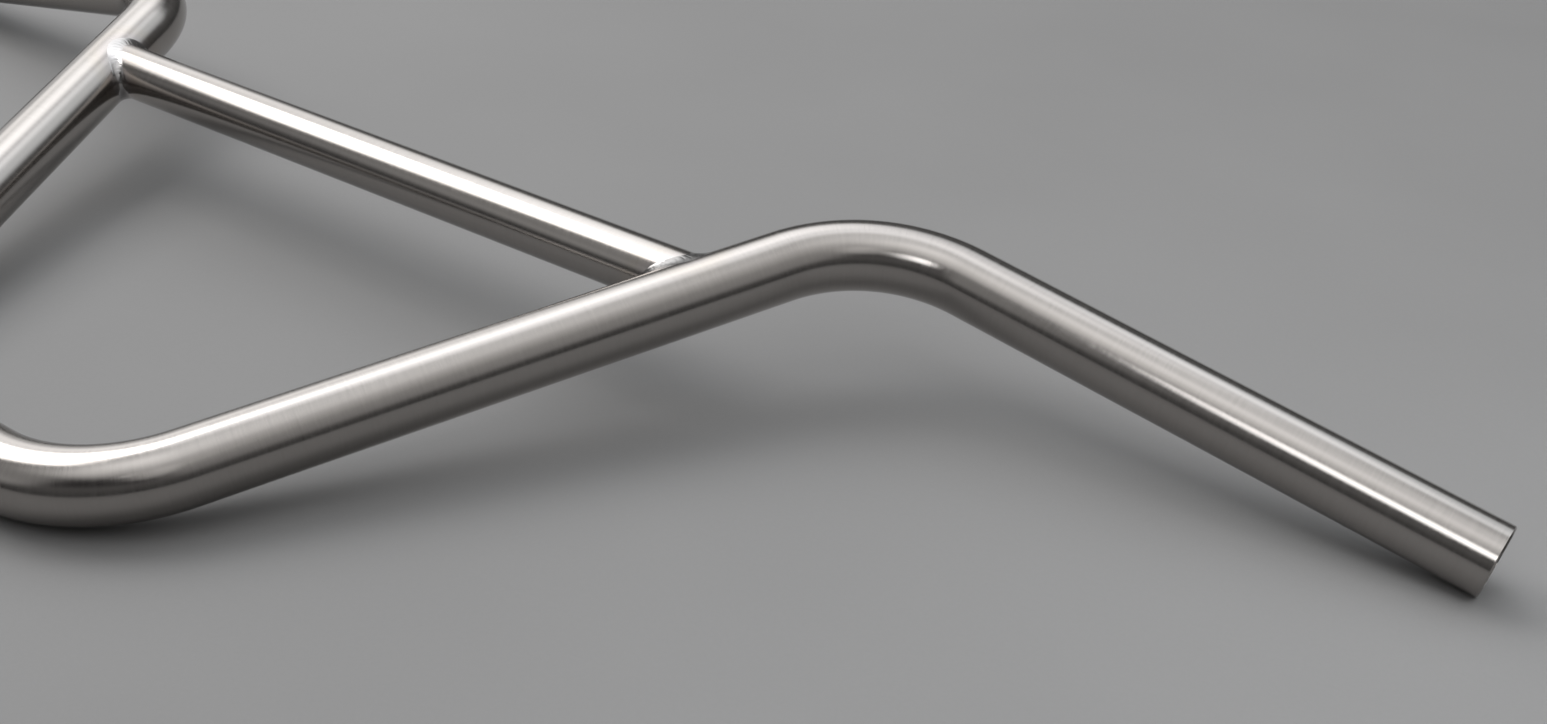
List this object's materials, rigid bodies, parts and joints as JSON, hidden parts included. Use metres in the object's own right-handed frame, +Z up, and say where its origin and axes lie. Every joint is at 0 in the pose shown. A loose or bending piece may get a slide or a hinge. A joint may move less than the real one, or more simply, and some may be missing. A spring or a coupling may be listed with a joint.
{
  "type": "bmx handlebar",
  "caption": "High-rise bmx handlebar: a bent main tube with swept-back open ends and a straight crossbar welded between its uprights.",
  "frame": {"origin": "middle of the clamp flat, on the axis of the tube", "axes": "+X across the bar along the clamp flat, +Y along the surface it lies on from the clamp to the ends, +Z up from that surface"},
  "size_m": [0.7402, 0.247, 0.0532],
  "materials": {
    "brushed_tube": "bare warm grey metal, brushed round the tube to a satin shine",
    "weld_metal": "bright rippled weld with a faint heat tint"
  },
  "bodies": {
    "root": {"main_tube": "brushed_tube", "crossbar": "brushed_tube", "left_weld_bead": "weld_metal", "right_weld_bead": "weld_metal"}
  },
  "joints": []
}
